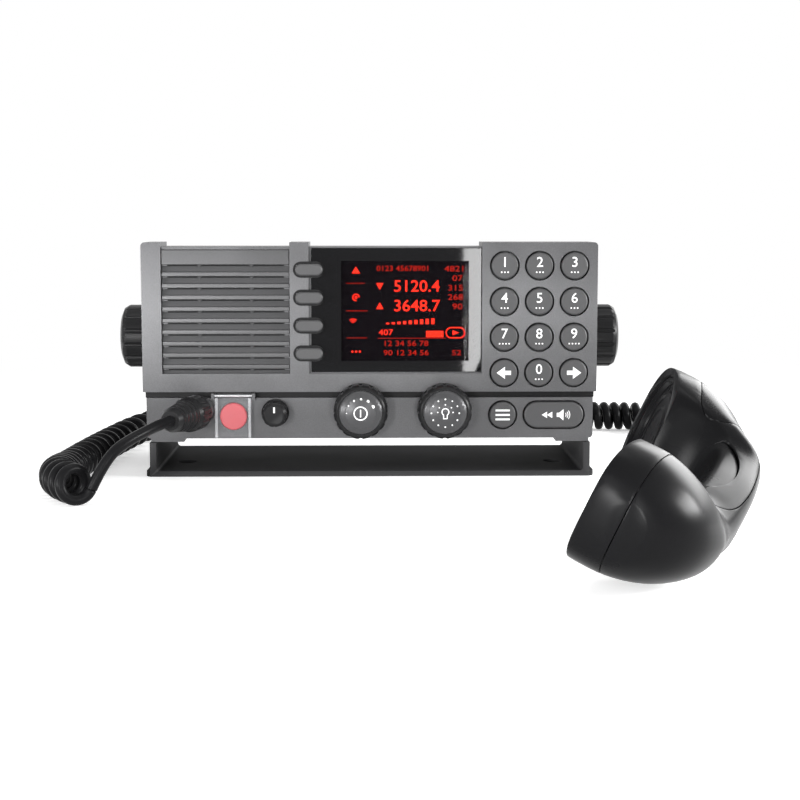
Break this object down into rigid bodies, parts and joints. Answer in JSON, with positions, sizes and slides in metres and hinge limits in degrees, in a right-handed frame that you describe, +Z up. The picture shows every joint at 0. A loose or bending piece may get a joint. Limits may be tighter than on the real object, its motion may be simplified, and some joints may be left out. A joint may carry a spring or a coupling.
{
  "type": "marine ssb radio",
  "caption": "Marine radio control head tilting in a U-shaped bracket, with keypad, display, rotary knobs and grille, and a press-to-talk handset on a curly cord.",
  "frame": {"origin": "midway between the bracket's two screw holes, on the underside of its base", "axes": "+X to the right seen from the front, +Y to the back, +Z up"},
  "size_m": [0.3707, 0.4956, 0.1247],
  "materials": {
    "bracket_paint": "satin",
    "knob_plastic": "satin",
    "panel": "satin",
    "grille": "matte",
    "case": "satin",
    "glass": "gloss",
    "screen": "gloss",
    "key_face": "satin",
    "rubber": "matte",
    "circuit": "satin",
    "metal": "satin",
    "brass": "satin",
    "red_button": "gloss",
    "clear_cover": "gloss",
    "cord": "satin",
    "handset": "satin",
    "cone": "matte"
  },
  "bodies": {
    "bracket": {"mounting_bracket": "bracket_paint", "cord_lead": "cord", "curly_cord": "cord"},
    "radio": {"front_panel": "panel", "speaker_grille": "grille", "loudspeaker_frame": "metal", "loudspeaker_cone": "cone", "display_window": "glass", "display_module": "screen", "rear_case": "case", "panel_gasket": "rubber", "keypad_mat": "rubber", "control_board": "circuit", "main_board": "circuit", "rotary_encoders": "knob_plastic", "handset_socket": "metal", "pivot_inserts": "brass", "case_screws": "metal", "system_connector": "knob_plastic", "power_socket": "knob_plastic", "earth_stud": "metal", "hinge_pin": "metal", "plug_body": "knob_plastic"},
    "clamp_left": {"clamp_knob_left": "knob_plastic"},
    "clamp_right": {"clamp_knob_right": "knob_plastic"},
    "key_1": {"key_1": "key_face"},
    "key_2": {"key_2": "key_face"},
    "key_3": {"key_3": "key_face"},
    "key_4": {"key_4": "key_face"},
    "key_5": {"key_5": "key_face"},
    "key_6": {"key_6": "key_face"},
    "key_7": {"key_7": "key_face"},
    "key_8": {"key_8": "key_face"},
    "key_9": {"key_9": "key_face"},
    "key_left": {"key_left": "key_face"},
    "key_0": {"key_0": "key_face"},
    "key_right": {"key_right": "key_face"},
    "key_mode": {"key_mode": "key_face"},
    "key_replay": {"key_replay": "key_face"},
    "soft_key_1": {"soft_key_1": "key_face"},
    "soft_key_2": {"soft_key_2": "key_face"},
    "soft_key_3": {"soft_key_3": "key_face"},
    "soft_key_4": {"soft_key_4": "key_face"},
    "volume_ring": {"volume_ring": "knob_plastic"},
    "volume_cap": {"volume_cap": "knob_plastic"},
    "dimmer_ring": {"dimmer_ring": "knob_plastic"},
    "dimmer_cap": {"dimmer_cap": "knob_plastic"},
    "gain_knob": {"gain_knob": "knob_plastic"},
    "distress_button": {"distress_button": "red_button"},
    "distress_cover": {"distress_cover": "clear_cover"},
    "plug_collar": {"plug_collar": "knob_plastic"},
    "talk_lever": {"talk_lever": "handset"},
    "handset": {"handset_inner_shell": "handset", "handset_outer_shell": "handset", "handset_earpiece": "knob_plastic", "handset_microphone": "knob_plastic", "talk_pin": "metal", "talk_switch": "knob_plastic", "handset_strain_relief": "cord"}
  },
  "joints": [
    {"name": "tilt", "type": "hinge", "parent": "bracket", "child": "radio", "pos_m": [0, 0.014, 0.072], "axis": [1, 0, 0], "range_deg": [-30, 0], "deforming": ["cord_lead"]},
    {"name": "clamp_left_turn", "type": "hinge", "parent": "radio", "child": "clamp_left", "pos_m": [-0.12, 0.014, 0.072], "axis": [-1, 0, 0], "continuous": true},
    {"name": "clamp_right_turn", "type": "hinge", "parent": "radio", "child": "clamp_right", "pos_m": [0.12, 0.014, 0.072], "axis": [1, 0, 0], "continuous": true},
    {"name": "key_1_press", "type": "slide", "parent": "radio", "child": "key_1", "axis": [0, 1, 0], "range_m": [0, 0.001], "stiffness_N_per_m": 600},
    {"name": "key_2_press", "type": "slide", "parent": "radio", "child": "key_2", "axis": [0, 1, 0], "range_m": [0, 0.001], "stiffness_N_per_m": 600},
    {"name": "key_3_press", "type": "slide", "parent": "radio", "child": "key_3", "axis": [0, 1, 0], "range_m": [0, 0.001], "stiffness_N_per_m": 600},
    {"name": "key_4_press", "type": "slide", "parent": "radio", "child": "key_4", "axis": [0, 1, 0], "range_m": [0, 0.001], "stiffness_N_per_m": 600},
    {"name": "key_5_press", "type": "slide", "parent": "radio", "child": "key_5", "axis": [0, 1, 0], "range_m": [0, 0.001], "stiffness_N_per_m": 600},
    {"name": "key_6_press", "type": "slide", "parent": "radio", "child": "key_6", "axis": [0, 1, 0], "range_m": [0, 0.001], "stiffness_N_per_m": 600},
    {"name": "key_7_press", "type": "slide", "parent": "radio", "child": "key_7", "axis": [0, 1, 0], "range_m": [0, 0.001], "stiffness_N_per_m": 600},
    {"name": "key_8_press", "type": "slide", "parent": "radio", "child": "key_8", "axis": [0, 1, 0], "range_m": [0, 0.001], "stiffness_N_per_m": 600},
    {"name": "key_9_press", "type": "slide", "parent": "radio", "child": "key_9", "axis": [0, 1, 0], "range_m": [0, 0.001], "stiffness_N_per_m": 600},
    {"name": "key_left_press", "type": "slide", "parent": "radio", "child": "key_left", "axis": [0, 1, 0], "range_m": [0, 0.001], "stiffness_N_per_m": 600},
    {"name": "key_0_press", "type": "slide", "parent": "radio", "child": "key_0", "axis": [0, 1, 0], "range_m": [0, 0.001], "stiffness_N_per_m": 600},
    {"name": "key_right_press", "type": "slide", "parent": "radio", "child": "key_right", "axis": [0, 1, 0], "range_m": [0, 0.001], "stiffness_N_per_m": 600},
    {"name": "key_mode_press", "type": "slide", "parent": "radio", "child": "key_mode", "axis": [0, 1, 0], "range_m": [0, 0.001], "stiffness_N_per_m": 600},
    {"name": "key_replay_press", "type": "slide", "parent": "radio", "child": "key_replay", "axis": [0, 1, 0], "range_m": [0, 0.001], "stiffness_N_per_m": 600},
    {"name": "soft_key_1_press", "type": "slide", "parent": "radio", "child": "soft_key_1", "axis": [0, 1, 0], "range_m": [0, 0.001], "stiffness_N_per_m": 600},
    {"name": "soft_key_2_press", "type": "slide", "parent": "radio", "child": "soft_key_2", "axis": [0, 1, 0], "range_m": [0, 0.001], "stiffness_N_per_m": 600},
    {"name": "soft_key_3_press", "type": "slide", "parent": "radio", "child": "soft_key_3", "axis": [0, 1, 0], "range_m": [0, 0.001], "stiffness_N_per_m": 600},
    {"name": "soft_key_4_press", "type": "slide", "parent": "radio", "child": "soft_key_4", "axis": [0, 1, 0], "range_m": [0, 0.001], "stiffness_N_per_m": 600},
    {"name": "distress_press", "type": "slide", "parent": "radio", "child": "distress_button", "axis": [0, 1, 0], "range_m": [0, 0.0014], "stiffness_N_per_m": 500},
    {"name": "distress_cover_lift", "type": "hinge", "parent": "radio", "child": "distress_cover", "pos_m": [-0.0726, -0.0374, 0.0437], "axis": [-1, 0, 0], "range_deg": [0, 95], "stiffness_Nm_per_rad": 0.004},
    {"name": "volume_turn", "type": "hinge", "parent": "radio", "child": "volume_ring", "pos_m": [-0.005, -0.036, 0.036], "axis": [0, 1, 0], "continuous": true},
    {"name": "volume_press", "type": "slide", "parent": "volume_ring", "child": "volume_cap", "axis": [0, 1, 0], "range_m": [0, 0.0008], "stiffness_N_per_m": 600},
    {"name": "dimmer_turn", "type": "hinge", "parent": "radio", "child": "dimmer_ring", "pos_m": [0.0393, -0.036, 0.036], "axis": [0, 1, 0], "continuous": true},
    {"name": "dimmer_press", "type": "slide", "parent": "dimmer_ring", "child": "dimmer_cap", "axis": [0, 1, 0], "range_m": [0, 0.0008], "stiffness_N_per_m": 600},
    {"name": "gain_turn", "type": "hinge", "parent": "radio", "child": "gain_knob", "pos_m": [-0.0504, -0.036, 0.0346], "axis": [0, 1, 0], "range_deg": [-150, 150]},
    {"name": "collar_turn", "type": "hinge", "parent": "radio", "child": "plug_collar", "pos_m": [-0.0904, -0.036, 0.0356], "axis": [-0.2419, -0.9703, 0], "range_deg": [0, 90]},
    {"name": "handset_lift", "type": "slide", "parent": "bracket", "child": "handset", "axis": [0, 0, 1], "range_m": [0, 0.1], "deforming": ["curly_cord"]},
    {"name": "talk_squeeze", "type": "hinge", "parent": "handset", "child": "talk_lever", "pos_m": [0.13779, -0.23386, 0.02348], "axis": [-0.4012, 0.1616, -0.9016], "range_deg": [0, 5.5], "stiffness_Nm_per_rad": 1}
  ]
}
